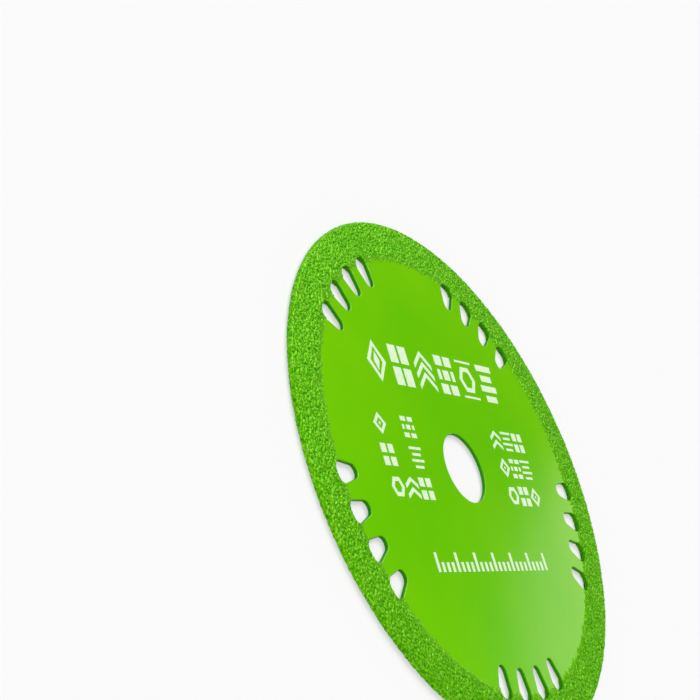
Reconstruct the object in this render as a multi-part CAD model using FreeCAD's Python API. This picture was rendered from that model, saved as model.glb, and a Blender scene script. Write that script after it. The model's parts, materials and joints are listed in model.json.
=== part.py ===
import FreeCAD, Part
import math
import os

# Thin cutting disc for a small angle grinder: a slotted sheet steel blank,
# a thicker coat of diamond grit round its rim, and white ink on its face.
# Millimetres. The disc lies on its rim, its bore axis is Z, its printed face
# is up, and the origin is on the axis in the plane that the rim rests on.

# Overall sizes
disc_diameter = 75.0
rim_thickness = 1.0
bore_diameter = 10.0
plate_thickness = 0.6
flange_seat_diameter = 20.0

# Coat of grit
grit_band_width = 5.9
grit_edge_depth = 0.2
grit_edge_bevel = 0.22
grit_inner_slope = 0.18

# Slots, each a tear with its round tip towards the bore
slot_groups = 5
slots_in_group = 4
first_group_angle = -90.0
slot_spacing = 4.91
slot_length = 4.45
slot_width = 2.96
slot_shoulder_radius = 1.1
slot_tip_radius = 0.96
slot_reach_into_grit = 0.85

# White ink
ink_thickness = 0.05
ink_gap_to_slots = 3.3
title_height = 6.0
title_figure_width = 4.6
title_gap_to_seat = 1.2
title_figures = 6
small_height = 3.0
small_figure_width = 3.0
small_pitch = 3.5
small_row_pitch = 4.3
small_first_row = 5.0
column_gap_to_seat = 0.85
scale_height = 2.6
scale_length = 30.5
scale_gap_to_seat = 2.2
scale_bar_width = 0.6
scale_divisions = 24
scale_long_every = 4
ink_line = 0.65
small_ink_line = 0.5

# Inside a figure of the print, in widths of its line
facet_frame_lines = 1.3
facet_heart_inset_lines = 2.5
nut_ring_lines = 1.3
chevron_lines = 1.2
chevron_rise_share = 1 / 3
short_plank_share = 0.7

# Sizes that follow
disc_radius = disc_diameter / 2
bore_radius = bore_diameter / 2
seat_radius = flange_seat_diameter / 2
plate_bottom = (rim_thickness - plate_thickness) / 2
plate_top = plate_bottom + plate_thickness
plate_radius = disc_radius - grit_edge_depth
band_inner_radius = disc_radius - grit_band_width
slot_outer_end = band_inner_radius + slot_reach_into_grit
slot_inner_end = slot_outer_end - slot_length
slot_centre_radius = slot_outer_end - slot_length / 2
ink_field_radius = slot_inner_end - ink_gap_to_slots

os.makedirs("parts", exist_ok=True)


def vec(x, y, z=0.0):
    return FreeCAD.Vector(x, y, z)


def revolve(points):
    """Turn a closed outline of (radius, height) points round the Z axis."""
    corners = [vec(radius, 0, height) for radius, height in points]
    face = Part.Face(Part.makePolygon(corners + corners[:1]))
    return face.revolve(vec(0, 0), vec(0, 0, 1), 360)


# Slots


def slot_face():
    """Tear outline round the origin, its blunt end towards +Y."""
    tip = vec(0, slot_tip_radius - slot_length / 2)
    shoulder = vec(slot_width / 2 - slot_shoulder_radius, slot_length / 2 - slot_shoulder_radius)
    # A straight side touches the tip arc and the shoulder arc, so both
    # touching points lie along one normal from the arcs' centres.
    span = shoulder - tip
    lean = (slot_tip_radius - slot_shoulder_radius) / span.Length
    along = vec(span.x, span.y).normalize()
    outward = vec(along.y, -along.x)
    normal = along * lean + outward * math.sqrt(1 - lean**2)
    tip_end = tip + normal * slot_tip_radius
    side_end = shoulder + normal * slot_shoulder_radius
    end_corner = shoulder + vec(0, slot_shoulder_radius)
    shoulder_middle = shoulder + (normal + vec(0, 1)).normalize() * slot_shoulder_radius
    tip_point = tip - vec(0, slot_tip_radius)

    def mirrored(point):
        return vec(-point.x, point.y)

    edges = [
        Part.Arc(mirrored(tip_end), tip_point, tip_end).toShape(),
        Part.LineSegment(tip_end, side_end).toShape(),
        Part.Arc(side_end, shoulder_middle, end_corner).toShape(),
        Part.LineSegment(end_corner, mirrored(end_corner)).toShape(),
        Part.Arc(mirrored(end_corner), mirrored(shoulder_middle), mirrored(side_end)).toShape(),
        Part.LineSegment(mirrored(side_end), mirrored(tip_end)).toShape(),
    ]
    return Part.Face(Part.Wire(edges))


def slot_angles():
    """Angle of every slot about the bore, group by group."""
    step = math.degrees(slot_spacing / slot_centre_radius)
    angles = []
    for group in range(slot_groups):
        middle = first_group_angle + 360.0 * group / slot_groups
        for place in range(slots_in_group):
            angles.append(middle + step * (place - (slots_in_group - 1) / 2))
    return angles


def slot_cutters():
    """One prism for each slot, taller than the rim on both sides."""
    spare = rim_thickness
    prism = slot_face().extrude(vec(0, 0, rim_thickness + 2 * spare))
    prism.translate(vec(0, slot_centre_radius, -spare))
    cutters = []
    for angle in slot_angles():
        cutter = prism.copy()
        cutter.rotate(vec(0, 0), vec(0, 0, 1), angle - 90)
        cutters.append(cutter)
    return cutters


# Blank and grit


def steel_core():
    """The blank. The seats of the clamping flanges are faces of their own."""
    blank = revolve([
        (bore_radius, plate_bottom),
        (seat_radius, plate_bottom),
        (plate_radius, plate_bottom),
        (plate_radius, plate_top),
        (seat_radius, plate_top),
        (bore_radius, plate_top),
    ])
    return blank.cut(slot_cutters())


def grit_rim():
    """The coat: a U section that wraps the blank's edge, softened outside."""
    slope_radius = band_inner_radius + grit_inner_slope
    shoulder = disc_radius - grit_edge_bevel
    coat = revolve([
        (band_inner_radius, plate_top),
        (slope_radius, rim_thickness),
        (shoulder, rim_thickness),
        (disc_radius, rim_thickness - grit_edge_bevel),
        (disc_radius, grit_edge_bevel),
        (shoulder, 0),
        (slope_radius, 0),
        (band_inner_radius, plate_bottom),
        (plate_radius, plate_bottom),
        (plate_radius, plate_top),
    ])
    return coat.cut(slot_cutters())


# Ink. Each mark is a flat prism on the front face, made from outlines that
# are given as (x, y) points, and each figure fills a box about its centre.


def inked(points):
    corners = [vec(x, y, plate_top) for x, y in points]
    face = Part.Face(Part.makePolygon(corners + corners[:1]))
    return face.extrude(vec(0, 0, ink_thickness))


def bar(x, y, width, height):
    right, top = width / 2, height / 2
    return inked([(x - right, y - top), (x + right, y - top), (x + right, y + top), (x - right, y + top)])


def hexagon(x, y, radius):
    angles = [math.radians(60 * corner) for corner in range(6)]
    return inked([(x + radius * math.cos(angle), y + radius * math.sin(angle)) for angle in angles])


def lozenge(x, y, width, height):
    return inked([(x - width / 2, y), (x, y - height / 2), (x + width / 2, y), (x, y + height / 2)])


def tiles(x, y, width, height, line):
    """Four tiles with joints between them."""
    tile_width, tile_height = (width - line) / 2, (height - line) / 2
    side, rise = (tile_width + line) / 2, (tile_height + line) / 2
    return [
        bar(x + right * side, y + up * rise, tile_width, tile_height)
        for right in (-1, 1)
        for up in (-1, 1)
    ]


def bricks(x, y, width, height, line):
    """Three courses in a running bond."""
    course = (height - 2 * line) / 3
    step = course + line
    half, third = (width - line) / 2, (width - 2 * line) / 4
    marks = [bar(x, y, width - 2 * (third + line), course)]
    for side in (-1, 1):
        marks.append(bar(x + side * (width - third) / 2, y, third, course))
        for up in (-1, 1):
            marks.append(bar(x + side * (half + line) / 2, y + up * step, half, course))
    return marks


def facet(x, y, width, height, line):
    """A lozenge inside a lozenge-shaped line."""
    inner = 2 * facet_frame_lines * line
    heart = 2 * facet_heart_inset_lines * line
    frame = lozenge(x, y, width, height).cut(lozenge(x, y, width - inner, height - inner))
    return [frame, lozenge(x, y, width - heart, height - heart)]


def nut(x, y, width, height, line):
    """A hexagonal ring, with a bar above and below where the box is tall."""
    outer = width / 2
    marks = [hexagon(x, y, outer).cut(hexagon(x, y, outer - nut_ring_lines * line))]
    spare = height / 2 - outer
    if spare > line / 2:
        marks += [bar(x, y + up * (height - spare / 2) / 2, width, spare / 2) for up in (-1, 1)]
    return marks


def chevrons(x, y, width, height, line):
    """Stacked chevrons, as many as the height holds with a line's width between them."""
    rise = height * chevron_rise_share
    thickness = chevron_lines * line
    count = max(2, int((height - rise + line) / (thickness + line)))
    gap = (height - rise - count * thickness) / (count - 1)
    marks = []
    for row in range(count):
        low = y - height / 2 + row * (thickness + gap)
        marks.append(inked([
            (x - width / 2, low),
            (x, low + rise),
            (x + width / 2, low),
            (x + width / 2, low + thickness),
            (x, low + rise + thickness),
            (x - width / 2, low + thickness),
        ]))
    return marks


def planks(x, y, width, height, line):
    """Long and short boards in turn."""
    count = 4
    board = (height - (count - 1) * line) / count
    marks = []
    for row in range(count):
        length = width if row % 2 else short_plank_share * width
        marks.append(bar(x, y - height / 2 + board / 2 + row * (board + line), length, board))
    return marks


def title_row():
    """Six large figures over the bore, as wide as the free face lets them be."""
    low = seat_radius + title_gap_to_seat
    reach = math.sqrt(ink_field_radius**2 - (low + title_height) ** 2)
    pitch = (2 * reach - title_figure_width) / (title_figures - 1)
    kinds = [facet, tiles, chevrons, bricks, nut, planks]
    marks = []
    for place in range(title_figures):
        x = pitch * (place - (title_figures - 1) / 2)
        kind = kinds[place % len(kinds)]
        marks += kind(x, low + title_height / 2, title_figure_width, title_height, ink_line)
    return marks


def small_columns():
    """Three rows of small figures on each side of the bore."""
    left = [[bricks, None, facet], [planks, None, tiles], [tiles, chevrons, nut]]
    right = [[chevrons, planks, tiles], [facet, bricks, planks], [nut, tiles, facet]]
    nearest = seat_radius + column_gap_to_seat + small_figure_width / 2
    marks = []
    for side, rows in ((-1, left), (1, right)):
        for row, kinds in enumerate(rows):
            y = small_first_row - row * small_row_pitch
            for place, kind in enumerate(kinds):
                if kind is not None:
                    x = side * (nearest + place * small_pitch)
                    marks += kind(x, y, small_figure_width, small_height, small_ink_line)
    return marks


def scale_line():
    """A plain graduated scale under the bore."""
    top = -(seat_radius + scale_gap_to_seat)
    pitch = scale_length / scale_divisions
    marks = []
    for division in range(scale_divisions + 1):
        height = scale_height if division % scale_long_every == 0 else scale_height / 2
        x = pitch * (division - scale_divisions / 2)
        marks.append(bar(x, top - scale_height + height / 2, scale_bar_width, height))
    return marks


def face_print():
    return Part.makeCompound(title_row() + small_columns() + scale_line())


steel_core().exportStep("parts/steel_core.step")
grit_rim().exportStep("parts/grit_rim.step")
face_print().exportStep("parts/face_print.step")
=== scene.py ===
import json
import math

import bmesh
import bpy
import numpy as np
from mathutils import Euler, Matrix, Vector
from mathutils.geometry import delaunay_2d_cdt


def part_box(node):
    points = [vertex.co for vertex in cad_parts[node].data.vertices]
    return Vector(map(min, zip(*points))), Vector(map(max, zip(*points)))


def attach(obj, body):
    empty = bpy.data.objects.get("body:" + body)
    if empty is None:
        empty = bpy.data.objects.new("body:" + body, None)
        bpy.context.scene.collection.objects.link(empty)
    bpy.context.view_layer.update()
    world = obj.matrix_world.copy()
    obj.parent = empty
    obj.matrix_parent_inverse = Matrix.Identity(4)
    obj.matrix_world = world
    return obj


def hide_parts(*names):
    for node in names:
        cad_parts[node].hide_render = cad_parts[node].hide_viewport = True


# A thin green cutting disc that lies on a white floor: an enamelled plate, a coat of
# painted grit round its rim, and white ink on its face. Sizes here are in millimetres.

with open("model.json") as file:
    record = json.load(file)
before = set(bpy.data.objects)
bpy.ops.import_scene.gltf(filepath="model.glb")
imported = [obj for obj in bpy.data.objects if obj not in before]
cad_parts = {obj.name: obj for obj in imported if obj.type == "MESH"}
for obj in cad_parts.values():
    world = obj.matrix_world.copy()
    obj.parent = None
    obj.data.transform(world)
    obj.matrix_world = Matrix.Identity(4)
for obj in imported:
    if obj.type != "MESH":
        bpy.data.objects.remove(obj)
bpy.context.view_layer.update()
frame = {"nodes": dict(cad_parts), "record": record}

MM = 0.001

# Sizes read from the frame
core_low, core_high = (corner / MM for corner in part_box("steel_core"))
plate_radius = core_high.x
plate_bottom, plate_top = core_low.z, core_high.z
middle_height = (plate_bottom + plate_top) / 2
bore = next(mount for mount in frame["record"]["mounts"] if mount["name"] == "bore")
bore_radius = bore["dims"]["r_mm"]

# Sizes that the solids were made from
band_inner_radius = 31.6
slot_groups = 5
slots_in_group = 4
first_group_angle = -90.0
slot_spacing = 4.91
slot_length = 4.45
slot_width = 2.96
slot_shoulder_radius = 1.1
slot_tip_radius = 0.96
slot_reach_into_grit = 0.85
slot_centre_radius = band_inner_radius + slot_reach_into_grit - slot_length / 2

# The enamelled plate's mesh
lip_radius = 0.2
lip_steps = 5
rim_points = 360
bore_points = 120
slot_arc_steps = 24
slot_line_step = 0.25
face_point_spacing = 1.6
face_point_clearance = 0.4 * face_point_spacing
face_tolerance = 1e-5

# Grains, one to a cell of the coat, with their own slopes and heights
grain_pitch = 0.34
grain_pitch_round = 0.3
grain_margin = 0.1
grain_play = 1 - 2 * grain_margin
grain_height = 0.175
grain_low = 0.4
clump_grains = 3
clump_low = 0.4
grain_seed = 11
grain_kinds = 60
grain_sides = 6
grain_side_turn = 0.4
grain_slopes = (0.7, 2.2)
grain_reaches = (0.2, 0.36)
grain_tilt = 0.42
paint_film = 0.02

# Which of a cell's random numbers is drawn
draw_along, draw_across, draw_kind, draw_height, draw_border, draw_tone, draw_clump = range(1, 8)

# Large numbers that scatter the cells' random numbers
hash_factors = (73856093, 19349663, 83492791)
hash_mixer = 1274126177

# The coat's inner edge, where the grains thin out
border_rag = 0.35
border_fade = 1.2
border_low = 0.45
border_reach = 0.5
border_drop = 0.12
border_shade = 0.76

# The coat's mesh
coat_columns = 2800
coat_sectors = 5
coat_step = 0.08
coat_back_step = 0.13
coat_edge_radius = 0.18
coat_bend_steps = 7
coat_wall_steps = 4
coat_wall_gap = 0.012
coat_cut_steps = 120
cut_search_share = 0.7
cut_snap_share = 0.56
# Painted shade: the shade share and tone given to the coat's cut walls
cut_wall_shade = 0.3
same_place = 0.001

# Camera, at the place from which the disc was seen
camera_place = (-167.45, -41.06, 84.48)
camera_turn = (39.91, -52.06, -25.72)
camera_lens = 71.16
camera_sensor = 36
camera_near = 0.01

# Lamp: where it stands, how strong it is, and how wide it looks in degrees
key_direction = (0.37, 0.56, 0.74)
key_strength = 1.96
key_width = 46.0

# Brightness of the room by height, from the horizon at 0 to straight above at 1
room_levels = ((0.0, 1.0), (0.22, 0.9), (0.31, 0.02), (0.66, 0.02), (0.8, 0.5), (1.0, 0.5))

# Bright patches of the room: azimuth and elevation, then reach, all in degrees
window_direction = (1.0, 13.5)
window_reach = 13.6
window_softness = 1.0
window_colour = (0.94, 0.8, 0.78, 1.0)
fill_direction = (-165.0, 14.0)
fill_reach = 45.0
fill_softness = 12.0
fill_colour = (1.5, 1.5, 1.5, 1.0)

# Floor and background, with their whites as screen values
floor_reach = 1500.0
floor_height = -0.01
floor_white = 252
floor_glow = 0.5
floor_glow_white = 251
background_white = 249


def srgb(red, green, blue):
    """A colour written as screen values from 0 to 255, in linear light."""
    def linear(value):
        value /= 255
        return value / 12.92 if value <= 0.04045 else ((value + 0.055) / 1.055) ** 2.4
    return (linear(red), linear(green), linear(blue), 1.0)


def grey(value):
    """A grey in linear light."""
    return (value, value, value, 1.0)


def screen_grey(value):
    """A grey written as a screen value from 0 to 255, in linear light."""
    return srgb(value, value, value)


def mirrored_height(height):
    """The height at the disc's back that answers to one at its front."""
    return plate_top + plate_bottom - height


def ring_pairs(count):
    """Each place of a closed ring with the place that follows it."""
    return [(i, (i + 1) % count) for i in range(count)]


def new_mesh(name, points, faces, normals=None):
    """A mesh object from an array of points in millimetres and a list of faces."""
    mesh = bpy.data.meshes.new(name)
    mesh.from_pydata((np.asarray(points) * MM).tolist(), [], faces)
    mesh.update()
    mesh.shade_smooth()
    if normals is not None:
        mesh.normals_split_custom_set_from_vertices(np.asarray(normals).tolist())
    piece = bpy.data.objects.new(name, mesh)
    bpy.context.scene.collection.objects.link(piece)
    return piece


def mark(piece, label, values):
    """Stores a number for every point of a piece."""
    layer = piece.data.attributes.new(label, "FLOAT", "POINT")
    layer.data.foreach_set("value", np.asarray(values, np.float32))


# Slots


def tear_outline(steps):
    """Points and outward normals of one slot about its centre, blunt end towards +Y.

    steps is the number of steps to half a turn of its arcs.
    """
    tip = np.array([0, slot_tip_radius - slot_length / 2])
    shoulder_x = slot_width / 2 - slot_shoulder_radius
    shoulder_y = slot_length / 2 - slot_shoulder_radius
    shoulder = np.array([shoulder_x, shoulder_y])
    # Each straight side touches the tip's arc and a shoulder's arc
    span = shoulder - tip
    lean = (slot_tip_radius - slot_shoulder_radius) / np.hypot(*span)
    side = math.atan2(span[1], span[0]) - math.acos(lean)

    def arc(centre, radius, start, end):
        count = max(2, int(steps * (end - start) / math.pi))
        angles = np.linspace(start, end, count)
        normals = np.column_stack([np.cos(angles), np.sin(angles)])
        return centre + radius * normals, normals

    def line(start, end, normal):
        count = max(2, int(np.hypot(*(end - start)) / slot_line_step))
        shares = np.linspace(0, 1, count + 1)[1:-1, None]
        return start + shares * (end - start), np.tile(normal, (len(shares), 1))

    mirror = np.array([-1, 1])
    tip_arc = arc(tip, slot_tip_radius, -math.pi - side, side)
    right = arc(shoulder, slot_shoulder_radius, side, math.pi / 2)
    left = arc(shoulder * mirror, slot_shoulder_radius, math.pi / 2, math.pi - side)
    side_normal = right[1][0]
    stretches = [
        tip_arc,
        line(tip_arc[0][-1], right[0][0], side_normal),
        right,
        line(right[0][-1], left[0][0], np.array([0, 1])),
        left,
        line(left[0][-1], tip_arc[0][0], side_normal * mirror),
    ]
    points = np.vstack([stretch[0] for stretch in stretches])
    normals = np.vstack([stretch[1] for stretch in stretches])
    # Where two stretches meet, their shared point stays once
    fresh = np.hypot(*(points - np.roll(points, 1, 0)).T) > same_place
    return points[fresh], normals[fresh]


def slot_angles():
    """The angle of every slot about the bore, group by group."""
    step = slot_spacing / slot_centre_radius
    angles = []
    for group in range(slot_groups):
        middle = math.radians(first_group_angle + 360 * group / slot_groups)
        for place in range(slots_in_group):
            angles.append(middle + step * (place - (slots_in_group - 1) / 2))
    return angles


def turned(points, angle):
    cosine, sine = math.cos(angle), math.sin(angle)
    return points @ np.array([[cosine, sine], [-sine, cosine]])


def at_slot(points, angle):
    """Points about a slot's centre, moved to the slot at an angle about the bore."""
    return turned(points + [0, slot_centre_radius], angle - math.pi / 2)


def circle(count):
    angles = np.linspace(0, 2 * math.pi, count, endpoint=False)
    return np.column_stack([np.cos(angles), np.sin(angles)])


def hole_loops():
    """The outline of the bore and of each slot, with normals that point into the plate."""
    ring = circle(bore_points)
    loops = [(ring * bore_radius, ring)]
    points, normals = tear_outline(slot_arc_steps)
    for angle in slot_angles():
        loops.append((at_slot(points, angle), turned(normals, angle - math.pi / 2)))
    return loops


# Enamelled plate


def plate_face_points(loops):
    """Points spread over the flat face, clear of the holes."""
    rows = np.arange(-plate_radius, plate_radius, face_point_spacing * math.sqrt(0.75))
    columns = np.arange(-plate_radius, plate_radius, face_point_spacing)
    points = np.array([
        (x + (row % 2) * face_point_spacing / 2, y)
        for row, y in enumerate(rows)
        for x in columns
    ])
    points = points[np.hypot(*points.T) < plate_radius - face_point_spacing]
    for outline, normals in loops:
        centre = outline.mean(0)
        reach = np.hypot(*(outline - centre).T).max() + face_point_spacing
        near = np.hypot(*(points - centre).T) < reach
        gaps = np.hypot(*(points[near][:, None] - outline[None]).transpose(2, 0, 1))
        nearest = gaps.argmin(1)
        outside = ((points[near] - outline[nearest]) * normals[nearest]).sum(1) > 0
        keep = ~near
        keep[near] = outside & (gaps.min(1) > face_point_clearance)
        points = points[keep]
    return points


def plate_face(loops):
    """Points and triangles of the flat face: the rim's points, the holes' and the rest."""
    rim = circle(rim_points) * plate_radius
    outlines = [rim] + [outline + normals * lip_radius for outline, normals in loops]
    edges, loop_of = [], []
    for number, outline in enumerate(outlines):
        start = len(loop_of)
        edges += [(start + i, start + j) for i, j in ring_pairs(len(outline))]
        loop_of += [number] * len(outline)
    spread = plate_face_points(loops)
    points = np.vstack(outlines + [spread])
    loop_of = np.array(loop_of + [-1] * len(spread))
    corners = [Vector(point) for point in points]
    found = delaunay_2d_cdt(corners, edges, [], 0, face_tolerance)
    if len(found[0]) != len(points):
        raise ValueError("the outlines of the face cross")
    # A triangle with its three corners on the outline of one hole lies in that hole
    triangles = [
        tuple(face)
        for face in found[2]
        if loop_of[face[0]] < 1 or not loop_of[face[0]] == loop_of[face[1]] == loop_of[face[2]]
    ]
    return points, triangles


def lip_section():
    """Rows from the upper face round its lip, down the wall and round the lower lip.

    Each row has its distance from the wall as a share of the lip's radius, its height, and
    the parts of its normal across the wall and upwards.
    """
    upper = [
        (
            1 - math.sin(bend),
            plate_top - lip_radius * (1 - math.cos(bend)),
            -math.sin(bend),
            math.cos(bend),
        )
        for bend in np.linspace(0, math.pi / 2, lip_steps + 1)
    ]
    lower = [
        (out, mirrored_height(height), across, -up)
        for out, height, across, up in upper[::-1]
    ]
    return upper + lower


def enamelled_plate():
    """The plate with rounded paint along the bore and every slot."""
    loops = hole_loops()
    flat, triangles = plate_face(loops)
    size = len(flat)
    points = [
        np.column_stack([flat, np.full(size, height)])
        for height in (plate_top, plate_bottom)
    ]
    normals = [np.tile([0.0, 0.0, side], (size, 1)) for side in (1, -1)]
    depths = [np.zeros(2 * size)]
    faces = triangles + [tuple(i + size for i in corners[::-1]) for corners in triangles]

    # Each hole's first and last rows are points of the two faces
    section = lip_section()
    first = 2 * size
    face_start = rim_points
    for outline, inward in loops:
        count = len(outline)
        rows = [face_start + np.arange(count)]
        for out, height, across, up in section[1:-1]:
            ring = outline + inward * lip_radius * out
            points.append(np.column_stack([ring, np.full(count, height)]))
            normals.append(np.column_stack([inward * across, np.full(count, up)]))
            depths.append(np.full(count, -across))
            rows.append(first + np.arange(count))
            first += count
        rows.append(face_start + size + np.arange(count))
        for upper, lower in zip(rows, rows[1:]):
            faces += [
                (int(upper[i]), int(upper[j]), int(lower[j]), int(lower[i]))
                for i, j in ring_pairs(count)
            ]
        face_start += count

    # The outer wall, which the coat hides
    faces += [(i, i + size, j + size, j) for i, j in ring_pairs(rim_points)]
    plate = new_mesh("enamelled_plate", np.vstack(points), faces, np.vstack(normals))
    # The wall mark is how far each point lies round its lip into the wall; the enamel's painted
    # shade follows it
    mark(plate, "wall", np.concatenate(depths))
    return plate


# Grit


def hashed(along, across, draw):
    """A repeatable random number from 0 to 1, for one draw of the cell with these places."""
    bits = (along * hash_factors[0]) ^ (across * hash_factors[1]) ^ (draw * hash_factors[2])
    bits = (bits ^ (bits >> 13)) * hash_mixer
    bits = (bits ^ (bits >> 16)) & 0xFFFFFF
    return bits / float(0x1000000)


def grain_shapes():
    """Kinds of grain: each side's two slopes and its level, and the tilt of the top."""
    random = np.random.default_rng(grain_seed)
    shape = (grain_kinds, grain_sides)
    angles = np.linspace(0, 2 * math.pi, grain_sides, endpoint=False)
    angles = angles + random.uniform(-grain_side_turn, grain_side_turn, shape)
    angles += random.uniform(0, 2 * math.pi, (grain_kinds, 1))
    slope = random.uniform(*grain_slopes, shape)
    reach = random.uniform(*grain_reaches, shape)
    tilt = random.normal(0, grain_tilt, (grain_kinds, 2))
    return slope * np.cos(angles), slope * np.sin(angles), slope * reach, tilt


def near_border(from_edge):
    """How tall the grains stand, as a share, at a distance from the coat's inner edge."""
    return border_low + (1 - border_low) * np.clip(from_edge / border_fade, 0, 1)


def grain_relief(along, across, turn, width):
    """Height of the grains over points of the coat, and the tone of the grain at each.

    along and across are a point's places round the disc and across the coat, turn is the
    length of one turn, and width the coat's length from one inner edge to the other.
    """
    cells_round = round(turn / grain_pitch_round)
    pitch = turn / cells_round
    home_along = np.floor(along / pitch).astype(np.int64)
    home_across = np.floor(across / grain_pitch).astype(np.int64)
    slope_along, slope_across, level, tilt = grain_shapes()
    height = np.full(len(along), -1.0)
    tone = np.zeros(len(along))
    for shift_along in (-1, 0, 1):
        for shift_across in (-1, 0, 1):
            cell_along = home_along + shift_along
            cell_across = home_across + shift_across
            cell = (cell_along % cells_round, cell_across)
            place = cell_along + grain_margin + grain_play * hashed(*cell, draw_along)
            x = along - place * pitch
            place = cell_across + grain_margin + grain_play * hashed(*cell, draw_across)
            centre = place * grain_pitch
            y = across - centre
            kind = (hashed(*cell, draw_kind) * grain_kinds).astype(int)
            slopes = slope_along[kind] * x[:, None], slope_across[kind] * y[:, None]
            sides = level[kind] - slopes[0] - slopes[1]
            clump = hashed(cell[0] // clump_grains, cell[1] // clump_grains, draw_clump)
            share = hashed(*cell, draw_height) * (clump_low + (1 - clump_low) * clump)
            top = grain_height * (grain_low + (1 - grain_low) * share)
            top += tilt[kind, 0] * x + tilt[kind, 1] * y
            grain = np.minimum(sides.min(1), top)
            from_edge = np.minimum(centre, width - centre)
            grain = grain * near_border(from_edge)
            grain[from_edge < border_rag * (2 * hashed(*cell, draw_border) - 1)] = -1
            higher = grain > height
            height[higher] = grain[higher]
            tone[higher] = hashed(*cell, draw_tone)[higher]
    return np.minimum(height, grain_height), tone


def coat_profile():
    """Rows from the upper inner edge, over the rim, to the lower inner edge.

    Each row has its radius, height, the two parts of its normal and its place across. The
    second value is the coat's length from one inner edge to the other.
    """
    shoulder = plate_radius - coat_edge_radius
    flat_width = shoulder - band_inner_radius

    def flat(step):
        count = int((flat_width + border_reach) / step) + 1
        return np.linspace(-border_reach, flat_width, count)

    rows = [(band_inner_radius + place, plate_top, 0, 1, place) for place in flat(coat_step)]
    # Places round the bend are measured at half the grains' height
    bend_radius = coat_edge_radius + grain_height / 2
    bend_length = bend_radius * math.pi / 2
    corner = [
        (
            shoulder + coat_edge_radius * math.sin(bend),
            plate_top - coat_edge_radius * (1 - math.cos(bend)),
            math.sin(bend),
            math.cos(bend),
            flat_width + bend * bend_radius,
        )
        for bend in np.linspace(0, math.pi / 2, coat_bend_steps + 1)[1:]
    ]
    rows += corner
    wall = plate_top - plate_bottom - 2 * coat_edge_radius
    wall_start = flat_width + bend_length
    for drop in np.linspace(0, wall, coat_wall_steps + 1)[1:-1]:
        rows.append((plate_radius, plate_top - coat_edge_radius - drop, 1, 0, wall_start + drop))
    width = 2 * wall_start + wall
    rows += [
        (radius, mirrored_height(height), out, -up, width - place)
        for radius, height, out, up, place in corner[::-1]
    ]
    rows += [
        (band_inner_radius + place, plate_bottom, 0, -1, width - place)
        for place in flat(coat_back_step)[::-1]
    ]
    return np.array(rows), width


def softened(field):
    """One light blur over the rows and columns, as paint does."""
    field = (np.roll(field, 1, 1) + 4 * field + np.roll(field, -1, 1)) / 6
    inside = (field[:-2] + 4 * field[1:-1] + field[2:]) / 6
    return np.vstack([field[:1], inside, field[-1:]])


def coat_points():
    """The coat's points in rows and columns, with each point's shade and its grain's tone."""
    profile, width = coat_profile()
    angles = np.linspace(0, 2 * math.pi, coat_columns, endpoint=False)
    angles += math.radians(first_group_angle) + math.pi / slot_groups
    radius, level, out, up, place = (profile[:, i, None] for i in range(5))
    middle_radius = (band_inner_radius + plate_radius) / 2
    along, across = np.broadcast_arrays(angles * middle_radius, place)
    turn = 2 * math.pi * middle_radius
    height, tone = grain_relief(along.ravel(), across.ravel(), turn, width)
    height = height.reshape(across.shape)
    tone = tone.reshape(across.shape)
    # Past the inner edge the film dives under the enamel, so that single grains stand out of it
    from_edge = np.minimum(across, width - across)
    dive = from_edge / border_reach * (border_drop + paint_film)
    film = np.where(from_edge > 0, paint_film, paint_film + dive)
    height = softened(np.maximum(height, film))
    spread = radius + out * height
    points = [spread * np.cos(angles), spread * np.sin(angles), level + up * height]
    # The shade share picks the paint's colour: painted shade in the hollows between the grains
    # and a painted highlight on their tops. Near the inner edge it is kept from going low, so
    # that no dark line shows.
    shade = height / grain_height / near_border(from_edge)
    shade = np.maximum(shade, border_shade * np.clip(1 - from_edge / border_fade, 0, 1))
    return np.stack(points, -1), shade, tone, profile


def slot_cut(points, profile):
    """Moves points near a slot's outline onto it, and says which points lie inside a slot."""
    outline, normals = tear_outline(coat_cut_steps)
    outline = outline - normals * coat_wall_gap
    row_gaps = np.abs(np.diff(profile[:, 4], prepend=profile[0, 4] - coat_step))
    column_gap = 2 * math.pi * plate_radius / coat_columns
    limit = np.repeat(cut_snap_share * np.maximum(row_gaps, column_gap), coat_columns)
    inside = np.zeros(points.shape[:2], bool)
    on_edge = np.zeros(points.shape[:2], bool)
    for angle in slot_angles():
        local = turned(points[..., :2].reshape(-1, 2), math.pi / 2 - angle)
        local = local - [0, slot_centre_radius]
        near_across = np.abs(local[:, 0]) < slot_width
        near_along = np.abs(local[:, 1]) < slot_length * cut_search_share
        near = np.flatnonzero(near_across & near_along)
        place = local[near]
        gaps = np.hypot(*(place[:, None] - outline[None]).transpose(2, 0, 1))
        nearest = gaps.argmin(1)
        within = ((place - outline[nearest]) * normals[nearest]).sum(1) < 0
        close = gaps.min(1) < limit[near]
        row, column = np.unravel_index(near[close], inside.shape)
        points[row, column, :2] = at_slot(outline[nearest[close]], angle)
        on_edge[row, column] = True
        inside[np.unravel_index(near[within & ~close], inside.shape)] = True
    # Points of one side that moved to one place share one height
    moved = points[on_edge]
    keys = np.column_stack([np.round(moved[:, :2] / same_place), moved[:, 2] > middle_height])
    spots = np.unique(keys, axis=0, return_inverse=True)[1].ravel()
    moved[:, 2] = (np.bincount(spots, moved[:, 2]) / np.bincount(spots))[spots]
    points[on_edge] = moved
    return inside, on_edge


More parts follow.
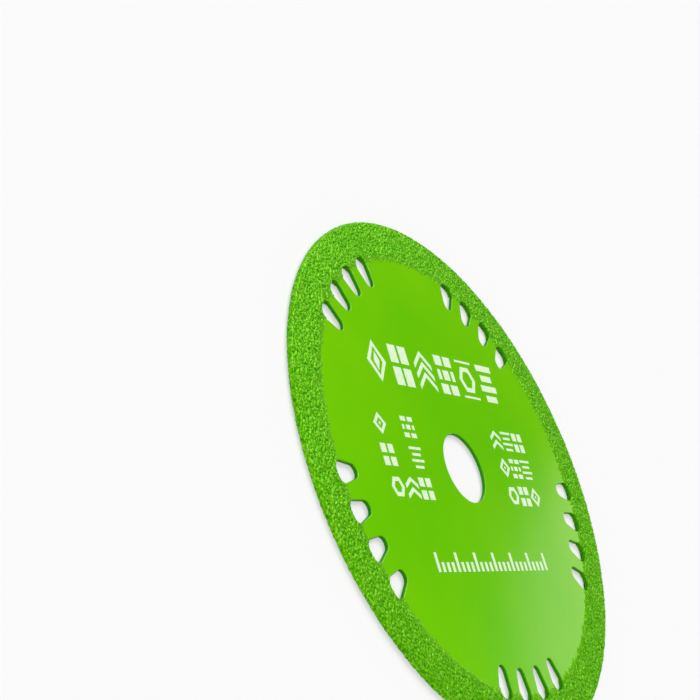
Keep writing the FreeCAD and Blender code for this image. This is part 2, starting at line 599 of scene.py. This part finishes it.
def slot_walls(place, faces, marks):
    """Walls from the coat's cut edges to the plate's lips: extra points and faces."""
    spots, same = {}, {}
    for point in np.flatnonzero(marks).tolist():
        same[point] = spots.setdefault(tuple(np.round(place[point] / same_place)), point)
    pairs = set()
    for face in faces[marks[faces].sum(1) >= 2].tolist():
        for start, end in zip(face, face[1:] + face[:1]):
            if marks[start] and marks[end] and same[start] != same[end]:
                pairs.add((same[start], same[end]))
    borders = [(start, end) for start, end in sorted(pairs) if (end, start) not in pairs]
    lower, extra = {}, []
    for border in borders:
        for point in border:
            if point not in lower:
                lower[point] = len(place) + len(extra)
                x, y, z = place[point]
                foot = plate_top - lip_radius if z > middle_height else plate_bottom + lip_radius
                extra.append((x, y, foot))
    return extra, [(end, start, lower[start], lower[end]) for start, end in borders]


def joined(piece):
    """Joins the points of a piece that fell on one place, and drops faces with no area."""
    shape = bmesh.new()
    shape.from_mesh(piece.data)
    bmesh.ops.remove_doubles(shape, verts=shape.verts, dist=same_place * MM)
    bmesh.ops.dissolve_degenerate(shape, edges=shape.edges, dist=same_place * MM)
    shape.to_mesh(piece.data)
    shape.free()


def grit_coat():
    """The coat in sectors, each with its cut slots."""
    points, shade, tone, profile = coat_points()
    inside, on_edge = slot_cut(points, profile)
    rows, columns = inside.shape
    index = np.arange(rows * columns).reshape(rows, columns)
    inside, on_edge = inside.ravel(), on_edge.ravel()
    width = columns // coat_sectors
    pieces = []
    for sector in range(coat_sectors):
        take = (np.arange(width + 1) + sector * width) % columns
        grid = index[:, take]
        corners = [grid[:-1, :-1], grid[1:, :-1], grid[1:, 1:], grid[:-1, 1:]]
        quads = np.stack(corners, -1).reshape(-1, 4)
        cut = inside[quads].any(1) | on_edge[quads].all(1)
        used, faces = np.unique(quads[~cut], return_inverse=True)
        faces = faces.reshape(-1, 4)
        place = points.reshape(-1, 3)[used]
        extra, walls = slot_walls(place, faces, on_edge[used])
        every_point = np.vstack([place, np.array(extra).reshape(-1, 3)])
        piece = new_mesh(f"grit_coat_{sector + 1}", every_point, faces.tolist() + walls)
        # Each point's shade share goes into the grain_height mark, which the paint follows as
        # painted shade and highlight
        for label, values in (("grain_height", shade), ("grain_tone", tone)):
            # Painted shade: the coat's cut walls get a low shade share and tone, so their paint
            # comes out dark
            painted_wall_shade_values = np.full(len(extra), cut_wall_shade)
            mark(piece, label, np.concatenate([values.ravel()[used], painted_wall_shade_values]))
        joined(piece)
        pieces.append(piece)
    return pieces


# Materials


def material(name):
    made = bpy.data.materials.new(name)
    made.use_nodes = True
    nodes = made.node_tree.nodes
    return made, nodes, made.node_tree.links, nodes["Principled BSDF"]


def noise(nodes, links, scale, detail):
    """Noise over the object: scale is its number of cells to a millimetre."""
    place = nodes.new("ShaderNodeTexCoord")
    texture = nodes.new("ShaderNodeTexNoise")
    texture.inputs["Scale"].default_value = scale / MM
    texture.inputs["Detail"].default_value = detail
    links.new(place.outputs["Object"], texture.inputs["Vector"])
    return texture.outputs["Fac"]


def from_axis(nodes, links):
    """The distance from the disc's axis, as a share of the distance to the coat."""
    place = nodes.new("ShaderNodeTexCoord")
    length = nodes.new("ShaderNodeVectorMath")
    length.operation = "LENGTH"
    links.new(place.outputs["Object"], length.inputs[0])
    share = nodes.new("ShaderNodeMapRange")
    share.inputs["From Max"].default_value = band_inner_radius * MM
    links.new(length.outputs["Value"], share.inputs["Value"])
    return share.outputs["Result"]


def attribute(nodes, name):
    made = nodes.new("ShaderNodeAttribute")
    made.attribute_name = name
    return made.outputs["Fac"]


def ramp(nodes, links, value, stops):
    """Colours by a value, from stops that each have a place and a colour."""
    made = nodes.new("ShaderNodeValToRGB")
    links.new(value, made.inputs["Fac"])
    band = made.color_ramp
    while len(band.elements) < len(stops):
        band.elements.new(0.5)
    for element, (place, colour) in zip(band.elements, stops):
        element.position = place
        element.color = colour
    return made.outputs["Color"]


def mixed(nodes, links, way, first, second):
    """Two colours brought together in full, in one of Blender's ways."""
    made = nodes.new("ShaderNodeMix")
    made.data_type = "RGBA"
    made.blend_type = way
    made.inputs["Factor"].default_value = 1.0
    links.new(first, made.inputs["A"])
    links.new(second, made.inputs["B"])
    return made.outputs["Result"]


def bump(nodes, links, shader, height, strength, distance, below=None):
    """Fine relief in the shader's normals: distance is its depth in millimetres."""
    made = nodes.new("ShaderNodeBump")
    made.inputs["Strength"].default_value = strength
    made.inputs["Distance"].default_value = distance * MM
    links.new(height, made.inputs["Height"])
    if below is not None:
        links.new(below, made.inputs["Normal"])
    links.new(made.outputs["Normal"], shader.inputs["Normal"])
    return made.outputs["Normal"]


def enamel():
    made, nodes, links, shader = material("green_enamel")
    tint = ramp(nodes, links, noise(nodes, links, scale=0.05, detail=3), [
        (0.35, srgb(106, 205, 0)),
        (0.65, srgb(118, 209, 0)),
    ])
    # Painted light: the face is lighter and yellower towards the coat and a little darker in the
    # middle
    painted_light_towards_rim = ramp(nodes, links, from_axis(nodes, links), [
        (0.25, (0.95, 0.985, 1.0, 1.0)),
        (0.7, (1.0, 1.0, 1.0, 1.0)),
        (1.0, (1.15, 1.05, 1.0, 1.0)),
    ])
    tint = mixed(nodes, links, "MULTIPLY", tint, painted_light_towards_rim)
    # Painted shade: the paint darkens round the lips and down the cut walls of the holes,
    # standing for the shade inside them; the gloss there is turned down too
    depth = attribute(nodes, "wall")
    shade = ramp(nodes, links, depth, [(0.35, grey(1.0)), (1.0, (0.12, 0.4, 0.3, 1))])
    links.new(mixed(nodes, links, "MULTIPLY", tint, shade), shader.inputs["Base Color"])
    gloss = ramp(nodes, links, depth, [(0.1, grey(0.5)), (0.5, grey(0.08))])
    links.new(gloss, shader.inputs["Specular IOR Level"])
    shader.inputs["Roughness"].default_value = 0.1
    shader.inputs["IOR"].default_value = 1.5
    peel = noise(nodes, links, scale=0.9, detail=1)
    peel = bump(nodes, links, shader, peel, strength=0.2, distance=0.003)
    sag = noise(nodes, links, scale=0.12, detail=1)
    bump(nodes, links, shader, sag, strength=0.25, distance=0.02, below=peel)
    return made


def grit_paint():
    made, nodes, links, shader = material("green_grit")
    # Painted shade and highlight: the paint is darker green in the hollows between the grains
    # and paler on their tops
    painted_shade_and_highlight_by_height = ramp(nodes, links, attribute(nodes, "grain_height"), [
        (0.0, srgb(40, 134, 0)),
        (0.32, srgb(70, 167, 0)),
        (0.62, srgb(97, 190, 0)),
        (0.82, srgb(121, 203, 18)),
        (0.95, srgb(140, 217, 68)),
    ])
    by_tone = ramp(nodes, links, attribute(nodes, "grain_tone"), [
        (0.0, grey(0.84)),
        (0.7, grey(0.93)),
        (1.0, grey(1.1)),
    ])
    # Painted glints: a fine noise lightens and darkens the paint in small spots, for grain tops
    # catching the light
    painted_glints = ramp(nodes, links, noise(nodes, links, scale=6.5, detail=1), [
        (0.36, grey(0.84)),
        (0.52, grey(0.95)),
        (0.66, grey(1.16)),
    ])
    grains = mixed(nodes, links, "MULTIPLY", painted_shade_and_highlight_by_height, by_tone)
    links.new(mixed(nodes, links, "MULTIPLY", grains, painted_glints), shader.inputs["Base Color"])
    shader.inputs["Metallic"].default_value = 0.25
    shader.inputs["Roughness"].default_value = 0.34
    shader.inputs["Specular IOR Level"].default_value = 0.06
    shader.inputs["Specular Tint"].default_value = (0.6, 1.0, 0.2, 1.0)
    sugar = noise(nodes, links, scale=6, detail=2)
    bump(nodes, links, shader, sugar, strength=0.35, distance=0.03)
    return made


def ink():
    made, nodes, links, shader = material("white_ink")
    speckle = ramp(nodes, links, noise(nodes, links, scale=3.0, detail=3), [
        (0.3, srgb(212, 246, 190)),
        (0.55, srgb(234, 254, 218)),
    ])
    links.new(speckle, shader.inputs["Base Color"])
    shader.inputs["Roughness"].default_value = 0.42
    pores = noise(nodes, links, scale=5.0, detail=2)
    bump(nodes, links, shader, pores, strength=0.3, distance=0.01)
    return made


def dress(piece, paint):
    piece.data.materials.clear()
    piece.data.materials.append(paint)


# Studio


def floor():
    sides = ((-1, -1), (1, -1), (1, 1), (-1, 1))
    corners = [(x * floor_reach, y * floor_reach, floor_height) for x, y in sides]
    piece = new_mesh("floor", corners, [(0, 1, 2, 3)])
    made, nodes, links, shader = material("floor_white")
    shader.inputs["Base Color"].default_value = screen_grey(floor_white)
    shader.inputs["Roughness"].default_value = 0.9
    shader.inputs["Specular IOR Level"].default_value = 0.1
    # To the camera a part of the floor glows, so that the shadow under the disc stays pale
    glow = nodes.new("ShaderNodeEmission")
    glow.inputs["Color"].default_value = screen_grey(floor_glow_white)
    path = nodes.new("ShaderNodeLightPath")
    share = nodes.new("ShaderNodeMath")
    share.operation = "MULTIPLY"
    share.inputs[1].default_value = floor_glow
    links.new(path.outputs["Is Camera Ray"], share.inputs[0])
    both = nodes.new("ShaderNodeMixShader")
    links.new(share.outputs["Value"], both.inputs["Fac"])
    links.new(shader.outputs["BSDF"], both.inputs[1])
    links.new(glow.outputs["Emission"], both.inputs[2])
    links.new(both.outputs["Shader"], nodes["Material Output"].inputs["Surface"])
    dress(piece, made)


def key_light():
    light = bpy.data.lights.new("key", "SUN")
    light.energy = key_strength
    light.angle = math.radians(key_width)
    lamp = bpy.data.objects.new("key", light)
    lamp.rotation_euler = Vector(key_direction).to_track_quat("Z", "Y").to_euler()
    bpy.context.scene.collection.objects.link(lamp)


def room():
    """A room that is pale low down, dark above that and grey overhead.

    The face mirrors its window at the lower right, and a broad fill stands behind the camera.
    """
    world = bpy.data.worlds.new("studio")
    world.use_nodes = True
    bpy.context.scene.world = world
    nodes, links = world.node_tree.nodes, world.node_tree.links
    place = nodes.new("ShaderNodeTexCoord")
    parts = nodes.new("ShaderNodeSeparateXYZ")
    links.new(place.outputs["Generated"], parts.inputs["Vector"])
    levels = [(height, grey(level)) for height, level in room_levels]
    walls = ramp(nodes, links, parts.outputs["Z"], levels)

    def patch(direction, reach, softness, colour):
        """A round bright patch of the room, seen along a direction of azimuth and elevation."""
        azimuth, elevation = (math.radians(angle) for angle in direction)
        aim = nodes.new("ShaderNodeVectorMath")
        aim.operation = "DOT_PRODUCT"
        links.new(place.outputs["Generated"], aim.inputs[0])
        aim.inputs[1].default_value = (
            math.cos(elevation) * math.cos(azimuth),
            math.cos(elevation) * math.sin(azimuth),
            math.sin(elevation),
        )
        edge = nodes.new("ShaderNodeMapRange")
        edge.interpolation_type = "SMOOTHSTEP"
        edge.inputs["From Min"].default_value = math.cos(math.radians(reach + softness))
        edge.inputs["From Max"].default_value = math.cos(math.radians(reach - softness))
        links.new(aim.outputs["Value"], edge.inputs["Value"])
        return ramp(nodes, links, edge.outputs["Result"], [(0.0, grey(0.0)), (1.0, colour)])

    window = patch(window_direction, window_reach, window_softness, window_colour)
    fill = patch(fill_direction, fill_reach, fill_softness, fill_colour)
    light = mixed(nodes, links, "LIGHTEN", mixed(nodes, links, "LIGHTEN", walls, window), fill)
    path = nodes.new("ShaderNodeLightPath")
    pick = nodes.new("ShaderNodeMix")
    pick.data_type = "RGBA"
    links.new(path.outputs["Is Camera Ray"], pick.inputs["Factor"])
    links.new(light, pick.inputs["A"])
    # To the camera the room is as pale as the floor, so that no horizon shows
    pick.inputs["B"].default_value = screen_grey(background_white)
    links.new(pick.outputs["Result"], nodes["Background"].inputs["Color"])


def camera():
    lens = bpy.data.cameras.new("camera")
    lens.lens = camera_lens
    lens.sensor_width = camera_sensor
    lens.clip_start = camera_near
    view = bpy.data.objects.new("camera", lens)
    view.location = Vector(camera_place) * MM
    view.rotation_euler = Euler([math.radians(turn) for turn in camera_turn])
    bpy.context.scene.collection.objects.link(view)
    bpy.context.scene.camera = view


camera()
floor()
room()
key_light()

plate = enamelled_plate()
dress(plate, enamel())
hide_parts("steel_core")
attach(plate, "root")

rough_green = grit_paint()
for piece in grit_coat():
    dress(piece, rough_green)
    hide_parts("grit_rim")
    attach(piece, "root")

dress(frame["nodes"]["face_print"], ink())

bpy.context.scene.view_settings.view_transform = "Standard"
